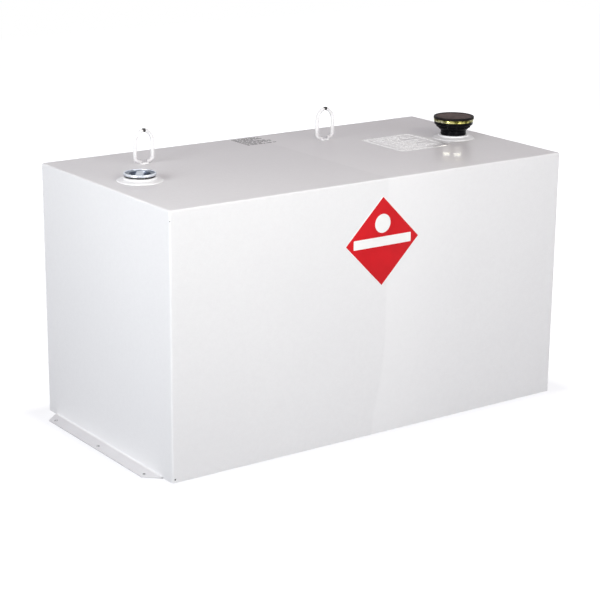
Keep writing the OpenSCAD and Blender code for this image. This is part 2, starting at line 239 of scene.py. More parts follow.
class Shader:
    """One Principled material, with short ways to add the nodes that drive it."""

    def __init__(self, name, **values):
        self.material = bpy.data.materials.new(name)
        self.material.use_nodes = True
        self.tree = self.material.node_tree
        self.principled = self.tree.nodes["Principled BSDF"]
        self.place = self.tree.nodes.new("ShaderNodeTexCoord").outputs["Object"]
        for socket, value in values.items():
            self.principled.inputs[socket.replace("_", " ")].default_value = value

    def node(self, kind, inputs, **settings):
        """Adds a node whose inputs are values or other nodes' outputs."""
        made = self.tree.nodes.new("ShaderNode" + kind)
        for key, value in settings.items():
            setattr(made, key, value)
        for socket, value in inputs.items():
            if isinstance(value, bpy.types.NodeSocket):
                self.tree.links.new(value, made.inputs[socket])
            else:
                made.inputs[socket].default_value = value
        return made

    def noise(self, scale, detail):
        """Noise of 0 to 1 with about scale spots to the metre."""
        inputs = {"Vector": self.place, "Scale": scale, "Detail": detail}
        return self.node("TexNoise", inputs).outputs["Fac"]

    def ramp(self, value, low, high):
        """0 where value is at or below low, 1 where it is at or above high, smooth between."""
        inputs = {"Value": value, "From Min": low, "From Max": high}
        return self.node("MapRange", inputs, interpolation_type="SMOOTHSTEP").outputs["Result"]

    def spread(self, value, low, high):
        """A value from 0 to 1 stretched to run from low to high."""
        inputs = {"Value": value, "To Min": low, "To Max": high}
        return self.node("MapRange", inputs).outputs["Result"]

    def math(self, operation, a, b=0.0):
        """One sum on one or two values."""
        return self.node("Math", {0: a, 1: b}, operation=operation).outputs[0]

    def mix(self, amount, a, b):
        """Colour a where amount is 0 and b where it is 1."""
        return self.node("Mix", {"Factor": amount, 6: a, 7: b}, data_type="RGBA").outputs[2]

    def axes(self):
        """x, y and z of the place."""
        return tuple(self.node("SeparateXYZ", {"Vector": self.place}).outputs)

    def distance(self, x, y, centre):
        """Distance of the point x, y from a centre in millimetres, in metres."""
        across = self.math("POWER", self.math("SUBTRACT", x, centre[0] * MM), 2.0)
        along = self.math("POWER", self.math("SUBTRACT", y, centre[1] * MM), 2.0)
        return self.math("SQRT", self.math("ADD", across, along))

    def near(self, centre, radius, soft=0.0):
        """1 inside a ragged ball round a centre in millimetres, whose edge fades over soft each way."""
        ragged = 0.3
        ends = {0: self.place, 1: Vector(centre) * MM}
        apart = self.node("VectorMath", ends, operation="DISTANCE").outputs["Value"]
        edge = self.math("MULTIPLY", self.noise(420, 3), 2 * ragged * radius * MM)
        inner = (1 - ragged) * radius * MM
        beyond = self.math("SUBTRACT", apart, edge)
        if soft:
            return self.ramp(beyond, inner + soft * MM, inner - soft * MM)
        return self.math("LESS_THAN", beyond, inner)

    def drive(self, socket, output):
        """Lets a node's output drive one of the material's own sockets."""
        self.tree.links.new(output, self.principled.inputs[socket])

    def bump(self, height, depth, below=None):
        """Normal for a height of 0 to 1 that stands for depth millimetres."""
        inputs = {"Height": height, "Distance": depth * MM}
        if below is not None:
            inputs["Normal"] = below
        return self.node("Bump", inputs).outputs["Normal"]


def grey(value):
    """Neutral colour."""
    return (value, value, value, 1)


def crease_painted_light(s, colour):
    """The colour, painted slightly paler right of a faint crease down the front and over the top, as
    painted light on the bent sheet.
    """
    x, y, z = s.axes()
    crease_x, bend_top, bend_reach, fade_reach = 0.026, 0.3, 0.035, 0.26
    # The crease is near mid-length, and bends left towards its foot
    bend = s.math("MULTIPLY", s.math("POWER", s.ramp(z, bend_top, 0.0), 2.0), bend_reach)
    across = s.math("ADD", x, s.math("SUBTRACT", bend, crease_x))
    # Painted light: the sheet is paler just right of the crease
    paler = s.math("MULTIPLY", s.ramp(across, -0.004, 0.006), s.ramp(across, fade_reach, 0.01))
    paler = s.math("MULTIPLY", paler, s.math("LESS_THAN", y, (WALL_Y - 1) * MM))
    return s.mix(s.math("MULTIPLY", paler, 0.3), colour, (0.90, 0.90, 0.905, 1))


def flange_painted_shade(s, colour):
    """The colour, painted a little darker on the bolt-down flanges in uneven patches, as shade."""
    x, _, z = s.axes()
    flange_top = 0.004
    # Painted shade on the low flanges outside the walls
    low = s.math("LESS_THAN", z, flange_top)
    outside = s.ramp(s.math("ABSOLUTE", x), (WALL_X + 1) * MM, (WALL_X + 6) * MM)
    flange_shade = s.math("MULTIPLY", low, outside)
    flange_shade = s.math("MULTIPLY", flange_shade, s.spread(s.noise(9, 3), 0.2, 0.85))
    return s.mix(flange_shade, colour, (0.60, 0.585, 0.61, 1))


def chips_and_hole_shade(s, chips):
    """1 round the bolt holes, as painted shade in them, and where the paint is gone at chips given as
    (centre, radius).
    """
    x, y, _ = s.axes()
    along, aside = s.math("ABSOLUTE", x), s.math("ABSOLUTE", y)
    bolt_x = FLANGE_X - BOLT_EDGE
    bolt_y = FLANGE_Y - FLANGE_CLIP - BOLT_END
    outer, inner = s.distance(along, aside, (bolt_x, bolt_y)), s.distance(along, aside, (bolt_x, 0))
    # Painted shade: a dark ragged ring round each bolt hole
    hole = s.math("MINIMUM", outer, inner)
    reach, ragged = 0.0056, 0.003
    edge = s.math("MULTIPLY", s.noise(300, 4), ragged)
    steel_and_shade_mask = s.math("LESS_THAN", s.math("ADD", hole, edge), reach)
    for centre, radius in chips:
        steel_and_shade_mask = s.math("MAXIMUM", steel_and_shade_mask, s.near(centre, radius))
    return steel_and_shade_mask


def white_paint(name, chips=(), foot_shade_from=None):
    """Satin white powder paint under a thin gloss, chipped down to grey steel, with painted light and shade
    in places.

    It is painted darker towards the top sheet from a height in millimetres, where one is given, as shade
    near the sheet.
    """
    s = Shader(name, Specular_IOR_Level=0.3, Coat_Weight=0.1, Coat_IOR=1.5, Coat_Roughness=0.035)
    cloud = s.ramp(s.noise(2.4, 3), 0.3, 0.7)
    mottle = s.ramp(s.noise(85, 3), 0.3, 0.7)
    grain = s.noise(330, 2)
    colour = s.mix(cloud, (0.815, 0.815, 0.822, 1), (0.835, 0.835, 0.840, 1))
    colour = s.mix(s.math("MULTIPLY", mottle, 0.25), colour, (0.77, 0.765, 0.775, 1))
    colour = s.mix(s.math("MULTIPLY", grain, 0.36), colour, (0.71, 0.71, 0.72, 1))
    colour = flange_painted_shade(s, crease_painted_light(s, colour))
    # Painted shade: darker towards the top sheet, where a height is given
    if foot_shade_from:
        height = s.axes()[2]
        foot_shade = s.ramp(height, foot_shade_from * MM, TOP_Z * MM)
        colour = s.mix(s.math("MULTIPLY", foot_shade, 0.7), colour, (0.55, 0.53, 0.545, 1))
    # Dark steel where chips bare it, also the colour of the painted shade round the bolt holes
    steel = s.mix(s.noise(500, 2), (0.02, 0.02, 0.022, 1), (0.09, 0.085, 0.08, 1))
    bare_and_hole_shade = chips_and_hole_shade(s, chips)
    s.drive("Base Color", s.mix(bare_and_hole_shade, colour, steel))

    s.drive("Roughness", s.spread(s.noise(11, 3), 0.36, 0.46))
    sheet = s.bump(s.noise(2.1, 1), 0.4)
    peel = s.bump(s.noise(430, 2), 0.05, sheet)
    s.drive("Coat Normal", sheet)
    s.drive("Normal", s.bump(s.math("SUBTRACT", 1.0, bare_and_hole_shade), 0.12, peel))
    return s.material


def zinc_plate(name, dull, hazy):
    """Blue-bright zinc plate: bright on the rim and sides, and inside the rim painted from dull to hazy, as
    its darker reflection there.
    """
    s = Shader(name, Metallic=0.85)
    x, y, _ = s.axes()
    middle = middle_mm("bung_plug")
    rim = high_mm("bung_plug").x - middle.x - PLUG_RIM_W
    inside = s.ramp(s.distance(x, y, (middle.x, middle.y)), (rim + 0.4) * MM, (rim - 0.4) * MM)
    haze = s.ramp(s.noise(65, 4), 0.3, 0.7)
    bright = s.mix(haze, (0.62, 0.66, 0.74, 1), (0.80, 0.83, 0.88, 1))
    # Painted reflection: darker inside the rim
    s.drive("Base Color", s.mix(inside, bright, s.mix(haze, dull, hazy)))
    s.drive("Roughness", s.math("ADD", s.spread(haze, 0.2, 0.34), s.math("MULTIPLY", inside, 0.1)))
    s.drive("Normal", s.bump(s.noise(900, 2), 0.02))
    return s.material


def rubber():
    """Matt black rubber."""
    s = Shader("rubber", Specular_IOR_Level=0.25)
    s.drive("Base Color", s.mix(s.noise(90, 3), grey(0.012), grey(0.03)))
    s.drive("Roughness", s.spread(s.noise(180, 2), 0.5, 0.75))
    s.drive("Normal", s.bump(s.noise(1300, 2), 0.03))
    return s.material


def black_plastic():
    """Moulded black plastic, worn glossy by handling."""
    s = Shader("black_plastic", IOR=1.2, Specular_IOR_Level=0.22)
    s.drive("Base Color", s.mix(s.noise(70, 3), (0.002, 0.002, 0.003, 1), (0.005, 0.005, 0.006, 1)))
    s.drive("Roughness", s.spread(s.ramp(s.noise(120, 4), 0.35, 0.65), 0.12, 0.28))
    s.drive("Normal", s.bump(s.noise(1100, 2), 0.015))
    return s.material


def brass_band():
    """Yellow plated steel, painted pale in places as highlights, with dark green tarnish in random patches
    and dark green patches painted as its dark reflections.
    """
    s = Shader("brass_band", Metallic=0.9)
    middle = middle_mm("fill_cap_band")
    tarnish_and_dark_reflection = s.math("MULTIPLY", s.ramp(s.noise(34, 2), 0.5, 0.62), s.ramp(s.noise(120, 4), 0.2, 0.6))
    # Painted dark reflections: each patch lies at an angle in degrees and a height above the band's middle,
    # and has a radius
    for degrees, rise, radius in ((-122, 3.5, 7), (-92, 2.5, 6), (-104, 4, 4), (40, 0, 9), (95, 1, 7)):
        patch = middle + on_circle(COVER_R, math.radians(degrees), rise)
        tarnish_and_dark_reflection = s.math("MAXIMUM", tarnish_and_dark_reflection, s.near(patch, radius, soft=2.5))
    # Painted highlights: pale in places
    pale_highlight = s.ramp(s.noise(14, 2), 0.38, 0.50)
    yellow = s.mix(pale_highlight, (0.78, 0.74, 0.24, 1), (0.99, 0.97, 0.74, 1))
    s.drive("Base Color", s.mix(tarnish_and_dark_reflection, yellow, (0.10, 0.095, 0.012, 1)))
    s.drive("Roughness", s.spread(tarnish_and_dark_reflection, 0.1, 0.4))
    s.drive("Normal", s.bump(s.noise(700, 2), 0.01))
    return s.material


def dark_cover(name, dull, bright):
    """Dark brown moulding with a fine grain."""
    s = Shader(name, IOR=1.2, Specular_IOR_Level=0.4)
    s.drive("Base Color", s.mix(s.ramp(s.noise(85, 4), 0.3, 0.7), dull, bright))
    s.drive("Roughness", s.spread(s.noise(150, 3), 0.45, 0.65))
    s.drive("Normal", s.bump(s.noise(1500, 2), 0.03))
    return s.material


def vinyl(name, light, dark):
    """Printed sign face with slight fading."""
    s = Shader(name, Specular_IOR_Level=0.2)
    s.drive("Base Color", s.mix(s.ramp(s.noise(18, 4), 0.3, 0.7), light, dark))
    s.drive("Roughness", s.spread(s.noise(40, 3), 0.28, 0.42))
    s.drive("Normal", s.bump(s.noise(600, 2), 0.012))
    return s.material


def gloss_print():
    """Thick glossy white ink, which shows pale on the paint where it mirrors the studio's white."""
    s = Shader("gloss_print", Specular_IOR_Level=1.0, Coat_Weight=0.8, Coat_IOR=2.0, Coat_Roughness=0.25)
    s.drive("Base Color", s.mix(s.noise(60, 3), grey(0.90), grey(0.96)))
    s.drive("Roughness", s.spread(s.noise(90, 3), 0.22, 0.34))
    return s.material


def dark_print():
    """Matt black ink."""
    s = Shader("dark_print", Specular_IOR_Level=0.08)
    s.drive("Base Color", s.mix(s.noise(120, 3), (0.012, 0.012, 0.014, 1), (0.05, 0.048, 0.052, 1)))
    s.drive("Roughness", s.spread(s.noise(90, 3), 0.4, 0.6))
    return s.material


def floor_white():
    """Pale floor that shows as the white background, with a soft shadow round the tank that is partly cast
    and partly painted into its glow.
    """
    s = Shader("floor_white", Roughness=1.0, Specular_IOR_Level=0.0)
    s.drive("Base Color", s.mix(s.noise(3, 2), (0.20, 0.20, 0.225, 1), (0.22, 0.22, 0.245, 1)))
    s.principled.inputs["Emission Color"].default_value = grey(1.0)
    x, y, _ = s.axes()
    along, aside = s.math("ABSOLUTE", x), s.math("ABSOLUTE", y)
    out_x = s.math("MAXIMUM", s.math("SUBTRACT", along, FLANGE_X * MM), 0.0)
    out_y = s.math("MAXIMUM", s.math("SUBTRACT", aside, WALL_Y * MM), 0.0)
    apart = s.math("SQRT", s.math("ADD", s.math("POWER", out_x, 2.0), s.math("POWER", out_y, 2.0)))
    shadow_reach, shadow_glow, glow_far, under_shade_glow = 0.08, 0.76, 0.96, 0.2
    # Painted shadow: the glow is lower near the tank
    glow = s.spread(s.ramp(apart, 0.0, shadow_reach), shadow_glow, glow_far)

    # Painted shade: the glow is much darker under the tank and its flanges, whose corners are clipped
    clip_x = WALL_X + 3
    clip = s.math("MAXIMUM", s.math("SUBTRACT", along, clip_x * MM), 0.0)
    clip = s.math("MULTIPLY", clip, FLANGE_CLIP / (FLANGE_X - clip_x))
    edge = s.math("SUBTRACT", FLANGE_Y * MM, clip)
    covered = s.math("MINIMUM", s.math("LESS_THAN", out_x, 0.001), s.math("LESS_THAN", aside, edge))
    glow = s.math("MULTIPLY", glow, s.spread(covered, 1.0, under_shade_glow))
    s.drive("Emission Strength", s.math("MULTIPLY", seen_directly(s.tree), glow))
    return s.material


# ---------------------------------------------------------------- shapes in millimetres


def rounded(corners, steps=4):
    """Points of an outline. A corner is (a, b), or (a, b, radius) where it is rounded."""
    line = []
    for i, corner in enumerate(corners):
        point = Vector(corner[:2])
        if len(corner) == 2:
            line.append(point)
            continue
        before = (Vector(corners[i - 1][:2]) - point).normalized()
        after = (Vector(corners[(i + 1) % len(corners)][:2]) - point).normalized()
        half = before.angle(after) / 2
        centre = point + (before + after).normalized() * corner[2] / math.sin(half)
        start = point + before * corner[2] / math.tan(half) - centre
        end = point + after * corner[2] / math.tan(half) - centre
        sweep = math.atan2(start.x * end.y - start.y * end.x, start.dot(end))
        for k in range(steps + 1):
            turn = sweep * k / steps
            line.append(centre + Vector((
                start.x * math.cos(turn) - start.y * math.sin(turn),
                start.x * math.sin(turn) + start.y * math.cos(turn),
            )))
    return line


def with_rows(line, radius, step):
    """The same outline, with its upright stretches at that radius cut into rows up to step high."""
    fine = [line[0]]
    for a, b in zip(line, line[1:] + line[:1]):
        upright = abs(a.x - radius) < 0.01 and abs(b.x - radius) < 0.01
        count = math.ceil(abs(b.y - a.y) / step) if upright else 1
        fine += [a.lerp(b, k / count) for k in range(1, count + 1)]
    return fine[:-1]


def loft(rings, around=True, along=False):
    """Vertices and faces between equal rings of points.

    around closes each ring, and along joins the last ring to the first. Open ends of closed rings
    are capped.
    """
    count = len(rings[0])
    verts = [point for ring in rings for point in ring]
    faces = []
    for i in range(len(rings) if along else len(rings) - 1):
        this, other = i * count, (i + 1) % len(rings) * count
        for k in range(count if around else count - 1):
            next_k = (k + 1) % count
            faces.append((this + k, this + next_k, other + next_k, other + k))
    if around and not along:
        faces.append(tuple(range(count)))
        faces.append(tuple(range(len(verts) - count, len(verts))))
    return verts, faces


def turned(outline, closed, segments=128, swell=None):
    """Outline of (radius, height) turned round the Z axis. A swell changes its radius in places."""
    rings = []
    for i in range(segments):
        angle = 2 * math.pi * i / segments
        ring = []
        for radius, height in outline:
            r = radius if swell is None else swell(radius, height, angle)
            ring.append(on_circle(r, angle, height))
        rings.append(ring)
    return loft(rings, around=closed, along=True)


def smooth(value):
    """0 below 0, 1 above 1 and an S-shaped rise between."""
    value = min(1, max(0, value))
    return value * value * (3 - 2 * value)


def thread(radius, depth, pitch, low, high):
    """Swell for a screw thread between two heights of the face at that radius, fading at both ends.

    It lies depth inside the radius, or outside it where depth is negative.
    """
    def swell(r, z, angle):
        if abs(r - radius) > 0.01 or not low < z < high:
            return r
        fade = smooth(min(z - low, high - z) / pitch)
        wave = 0.5 - 0.5 * math.cos(2 * math.pi * z / pitch - angle)
        return r - depth * fade * wave
    return swell


def both(first, second):
    """Two swells, one after the other."""
    return lambda r, z, angle: second(first(r, z, angle), z, angle)


def prism(outline, low, high, edge=0.0):
    """Upright block on an outline of (x, y), with its upper edges rounded by edge."""
    verts, faces = loft([[Vector((x, y, z)) for x, y in outline] for z in (low, high)])
    if not edge:
        return verts, faces
    mesh = bmesh.new()
    corners = [mesh.verts.new(v) for v in verts]
    for face in faces:
        mesh.faces.new([corners[i] for i in face])
    bmesh.ops.recalc_face_normals(mesh, faces=mesh.faces)
    upper = set(corners[len(outline):])
    rims = [e for e in mesh.edges if all(v in upper for v in e.verts)]
    bmesh.ops.bevel(mesh, geom=rims, offset=edge, segments=3, profile=0.5, affect="EDGES")
    mesh.verts.index_update()
    verts = [v.co.copy() for v in mesh.verts]
    faces = [tuple(v.index for v in f.verts) for f in mesh.faces]
    mesh.free()
    return verts, faces


def bead(spine, outs, ups, width, height, pitch, closed, sweep=90.0):
    """Weld bead along a spine of points: an arc of an ellipse at each, lightly rippled along its length.

    The arc runs over sweep degrees, from out towards up. An open bead is smaller at its two ends.
    """
    sides, ripple, lean, pitches_per_swell = 8, 0.09, 2.2, 8
    end_rows, end_size = 9, 0.4
    rings = []
    travelled = 0.0
    for i, point in enumerate(spine):
        if i:
            travelled += (point - spine[i - 1]).length
        end_fade = 1.0 if closed else smooth(min(i, len(spine) - 1 - i) / end_rows)
        scale = end_size + (1 - end_size) * end_fade
        turns = travelled / pitch
        strength = ripple * (0.65 + 0.35 * math.cos(2 * math.pi * turns / pitches_per_swell))
        ring = [point]
        for k in range(sides + 1):
            share = k / sides
            angle = math.radians(sweep * share)
            wave = strength * math.cos(2 * math.pi * turns + lean * (share - 0.5) ** 2)
            side = (width + wave) * scale * math.cos(angle)
            rise = (height + wave) * scale * math.sin(angle)
            ring.append(point + outs[i] * side + ups[i] * rise)
        rings.append(ring)
    return loft(rings, around=True, along=closed)


def make_piece(name, parts, centre, material, body, nodes=(), sharp=38):
    """One object from (verts, faces) parts in millimetres round a centre.

    It rides on a body and stands for the nodes, where some are given. Faces that meet at more than sharp
    degrees keep a hard edge.
    """
    verts, faces = [], []
    for part_verts, part_faces in parts:
        first = len(verts)
        verts += [(Vector(v) + Vector(centre)) * MM for v in part_verts]
        faces += [tuple(first + i for i in face) for face in part_faces]
    mesh = bpy.data.meshes.new(name)
    mesh.from_pydata(verts, [], faces)
    clean = bmesh.new()
    clean.from_mesh(mesh)
    bmesh.ops.remove_doubles(clean, verts=clean.verts, dist=1e-6)
    bmesh.ops.recalc_face_normals(clean, faces=clean.faces)
    clean.to_mesh(mesh)
    clean.free()
    mesh.shade_smooth()
    mesh.set_sharp_from_angle(angle=math.radians(sharp))
    mesh.materials.append(material)
    piece = bpy.data.objects.new(name, mesh)
    bpy.context.scene.collection.objects.link(piece)
    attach(piece, body)
    if nodes:
        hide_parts(*nodes)
    return piece


# ---------------------------------------------------------------- shell


def make_shell(paint):
    """Paint on the frame's own sheets and seam welds, which are shown as they are."""
    for node in (
        "floor_plate", "left_floor_weld", "right_floor_weld",
        "front_wall", "rear_wall", "left_end_wall", "right_end_wall", "top_plate",
    ):
        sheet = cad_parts[node]
        sheet.data.materials.clear()
        sheet.data.materials.append(paint)


def make_corner_welds(paint):
    """Lumpy ground welds down the top of the four upright corners, thinner at their ends and sides."""
    length, gap_above, half_angle = 40, 3.2, math.radians(50)
    thickness, ripple, pitch, lean, sunk = 0.42, 0.16, 3.1, 1.2, 0.12
    rows, columns, end_rows = 60, 14, 4
    for i, (side_x, side_y) in enumerate(((-1, -1), (1, -1), (1, 1), (-1, 1))):
        centre = Vector((side_x * (WALL_X - CORNER_R), side_y * (WALL_Y - CORNER_R), 0))
        middle_angle = math.atan2(side_y, side_x)
        rings = []
        for row in range(rows + 1):
            z = TOP_Z - gap_above - length * row / rows
            ends = smooth(min(row, rows - row) / end_rows)
            ring = []
            for column in range(columns + 1):
                share = 2 * column / columns - 1
                wave = ripple * math.cos(2 * math.pi * z / pitch + lean * share * share)
                lump = (thickness + wave) * smooth(1.25 * (1 - abs(share))) * ends - sunk * (1 - ends)
                r = CORNER_R + lump - 0.1 * smooth(4 * abs(share) - 3)
                ring.append(centre + on_circle(r, middle_angle + share * half_angle, z))
            ring.append(centre + on_circle(CORNER_R - 1, middle_angle, z))
            rings.append(ring)
        make_piece(f"corner_weld_{i + 1}", [loft(rings)], (0, 0, 0), paint, "tank")


# ---------------------------------------------------------------- openings and plug


def make_weld_flange(node, paint):
    """Flange welded on the top sheet: a sloping rim, a raised hub and a threaded bore."""
    rim_r, height, foot_z = size_mm(node).x / 2, size_mm(node).z, 0.02
    outline = rounded([
        (OPENING_R, foot_z),
        (rim_r, foot_z),
        (rim_r, RIM_T, 0.7),
        (HUB_R, RIM_ROOT, 1.6),
        (HUB_R, height, 1.4),
        (OPENING_R, height, 0.8),
    ])
    outline = with_rows(outline, OPENING_R, THREAD_ROW)
    bore = thread(OPENING_R, -PIPE_DEPTH, PIPE_PITCH, 0.3, height - 0.8)
    part = turned(outline, closed=True, swell=bore)
    make_piece(node + "_turned", [part], foot_mm(node), paint, "tank", [node])


def make_ring_weld(node, paint):
    """Rippled fillet weld round a weld flange's rim."""
    ripples, steps_per_ripple = 120, 6
    sunk, under_rim, extra = 0.2, 0.4, 0.1
    inner_r = size_mm(node).x / 2 - WELD_LEG
    count = ripples * steps_per_ripple
    outs = [on_circle(1, 2 * math.pi * i / count) for i in range(count)]
    ups = [Vector((0, 0, 1))] * count
    spine = [out * (inner_r - under_rim) + Vector((0, 0, -sunk)) for out in outs]
    pitch = 2 * math.pi * inner_r / ripples
    part = bead(spine, outs, ups, WELD_LEG + extra, size_mm(node).z + extra, pitch, closed=True)
    make_piece(node + "_bead", [part], foot_mm(node), paint, "tank", [node])


def make_plug_shell(zinc):
    """Flanged plug: raised rim, deck, well and threaded shank."""
    head_r, height = size_mm("bung_plug").x / 2, size_mm("bung_plug").z
    head_h, deck_drop, wall = 5.5, 2.5, 3
    floor_z = height - WELL_DEPTH
    outline = rounded([
        (0, floor_z - wall),
        (WELL_R, floor_z - wall, 0.5),
        (WELL_R, 0, 0.6),
        (SHANK_R, 0, 0.9),
        (SHANK_R, height - head_h),
        (head_r, height - head_h, 0.9),
        (head_r, height, 1.5),
        (head_r - PLUG_RIM_W, height, 0.9),
        (head_r - PLUG_RIM_W, height - deck_drop, 0.7),
        (WELL_R, height - deck_drop, 1.2),
        (WELL_R, floor_z, 1.6),
        (0, floor_z),
    ])
    outline = with_rows(outline, SHANK_R, THREAD_ROW)
    shank = thread(SHANK_R, PIPE_DEPTH, PIPE_PITCH, 1.0, height - head_h - 4.5)
    shell = turned(outline, closed=False, swell=shank)
    make_piece("bung_plug_shell", [shell], foot_mm("bung_plug"), zinc, "plug", ["bung_plug"])


def make_plug_grip(zinc):
    """Grip bar across the plug's well, and a lug on the well's wall at each side of it."""
    height = size_mm("bung_plug").z
    floor_z = height - WELL_DEPTH
    bar_w, bar_drop, steps = 18, 2, 10
    reach = math.asin(bar_w / 2 / WELL_R)
    outline = []
    for middle in (math.pi / 2, 1.5 * math.pi):
        for k in range(steps + 1):
            angle = middle + reach * (2 * k / steps - 1)
            outline.append(on_circle(WELL_R + 0.3, angle)[:2])
    grip = [prism(outline, floor_z - 0.5, height - bar_drop, 1.4)]
    lug_w, lug_reach, lug_h = bar_w / 2, bar_w / 4, 3
    for side in (-1, 1):
        inner, outer = side * (WELL_R - lug_reach), side * (WELL_R + 0.5)
        corners = [(inner, -lug_w / 2, 1), (outer, -lug_w / 2), (outer, lug_w / 2), (inner, lug_w / 2, 1)]
        grip.append(prism(rounded(corners), floor_z - 0.5, floor_z + lug_h, 0.8))
    turn = Matrix.Rotation(math.radians(-GRIP_TURN), 3, "Z")
    grip = [([turn @ Vector(v) for v in verts], faces) for verts, faces in grip]
    make_piece("bung_plug_grip", grip, foot_mm("bung_plug"), zinc, "plug")


def make_ring(name, node, inner_r, edge, material, body):
    """Flat ring with rounded edges, as wide as its node and a hair lower."""
    outer_r, gap = size_mm(node).x / 2, 0.03
    top = size_mm(node).z - gap
    corners = [(inner_r, gap, edge), (outer_r, gap, edge), (outer_r, top, edge), (inner_r, top, edge)]
    part = turned(rounded(corners, 6), closed=True)
    make_piece(name, [part], foot_mm(node), material, body, [node])


# ---------------------------------------------------------------- filler


def make_fill_neck(plastic):
    """Filler neck: threaded shank in the flange, collar on the hub, and threaded tube in the cap."""
    collar_r, height = size_mm("fill_neck").x / 2, size_mm("fill_neck").z
    bore_r, shank_h, collar_top = 21, 20, 32
    outline = rounded([
        (bore_r, 0, 0.6),
        (SHANK_R, 0, 0.9),
        (SHANK_R, shank_h),
        (collar_r, shank_h, 0.5),
        (collar_r, collar_top, 1.6),
        (TUBE_R, collar_top, 0.6),
        (TUBE_R, height, 1.0),
        (bore_r, height, 0.8),
    ])
    outline = with_rows(with_rows(outline, SHANK_R, THREAD_ROW), TUBE_R, THREAD_ROW)
    threads = both(
        thread(SHANK_R, PIPE_DEPTH, PIPE_PITCH, 1.0, shank_h - 1),
        thread(TUBE_R, -CAP_DEPTH, CAP_PITCH, collar_top + 1, height - 1.2),
    )
    part = turned(outline, closed=True, swell=threads)
    make_piece(
        "fill_neck_moulding", [part], foot_mm("fill_neck"),
        plastic, "tank", ["fill_neck"],
    )


def ribs(count, width, out, low, high):
    """Swell for grip ribs on the cap's skirt."""
    def swell(r, z, angle):
        if abs(r - SKIRT_R) > 0.01 or not low < z < high:
            return r
        share = angle * count / (2 * math.pi) % 1
        apart = min(share, 1 - share) * 2 * math.pi * SKIRT_R / count
        return r + out * smooth((width / 2 + 0.5 - apart) / 1.4) * smooth((z - low) / 1.2)
    return swell


def make_cap_body(plastic):
    """Moulded cap with a ribbed skirt and a threaded hollow."""
    height = size_mm("fill_cap_body").z
    foot_r, skirt_low, skirt_high, roof = 34, 6.5, 12.5, 18
    outline = rounded([
        (0, roof),
        (HOLLOW_R, roof, 0.6),
        (HOLLOW_R, 0, 0.8),
        (foot_r, 0, 1.0),
        (SKIRT_R, skirt_low, 1.2),
        (SKIRT_R, skirt_high),
        (BODY_R - 2, skirt_high, 0.8),
        (BODY_R, skirt_high + 2, 0.9),
        (BODY_R, height),
        (0, height),
    ])
    rib_row, hollow_row = 0.4, 0.5
    outline = with_rows(with_rows(outline, SKIRT_R, rib_row), HOLLOW_R, hollow_row)
    shape = both(
        ribs(count=12, width=7, out=2.5, low=skirt_low, high=skirt_high + 0.1),
        thread(HOLLOW_R, -CAP_DEPTH, CAP_PITCH, 1.0, roof - 1),
    )
    body = turned(outline, closed=False, segments=384, swell=shape)
    make_piece(
        "fill_cap_moulding", [body], foot_mm("fill_cap_body"),
        plastic, "cap", ["fill_cap_body"],
    )


def make_cap_band(brass):
    """Rolled band round the cap, with a shallow groove between its two edges."""
    inner_r, gap, roll, groove = BODY_R + 0.02, 0.05, 1.2, 0.5
    top = size_mm("fill_cap_band").z
    outline = rounded([
        (inner_r, gap),
        (COVER_R - 0.5, gap, 0.4),
        (COVER_R - 0.2, roll, 0.3),
        (COVER_R - 0.2 - groove, roll + 0.5, 0.3),
        (COVER_R - 0.1 - groove, top - roll - 0.5, 0.3),
        (COVER_R - 0.2, top - roll, 0.3),
        (COVER_R - 0.05, top - gap, 0.4),
        (inner_r, top - gap),
    ])
    make_piece(
        "fill_cap_band_rolled", [turned(outline, closed=True)], foot_mm("fill_cap_band"),
        brass, "cap", ["fill_cap_band"],
    )


def make_cap_cover(rim_brown, disc_brown):
    """Dished cover with a broad rounded rim, and a disc in the dish with a ring pressed into it."""
    foot, height = foot_mm("fill_cap_cover"), size_mm("fill_cap_cover").z
    rim_w, dish, gap = 5, 1.2, 0.05
    dish_r, dish_z = COVER_R - rim_w - dish, height - dish
    cover = rounded([
        (0, gap),
        (COVER_R, gap, 0.4),
        (COVER_R, height, 2.0),
        (COVER_R - rim_w, height, 0.8),
        (dish_r, dish_z, 0.6),
        (0, dish_z),
    ], 6)
    make_piece(
        "fill_cap_cover_moulding", [turned(cover, closed=False)], foot,
        rim_brown, "cap", ["fill_cap_cover"],
    )
    disc_r, low, face, pressed = dish_r - 0.8, dish_z - 0.2, dish_z + 0.3, dish_z + 0.1
    disc = rounded([
        (0, low),
        (disc_r, low),
        (disc_r, face, 0.2),
        (dish_r - 6, face, 0.2),
        (dish_r - 6.4, pressed, 0.1),
        (dish_r - 7.4, pressed, 0.1),
        (dish_r - 7.8, face, 0.2),
        (0, face),
    ])
    make_piece("fill_cap_disc", [turned(disc, closed=False)], foot, disc_brown, "cap")


# ---------------------------------------------------------------- lifting links


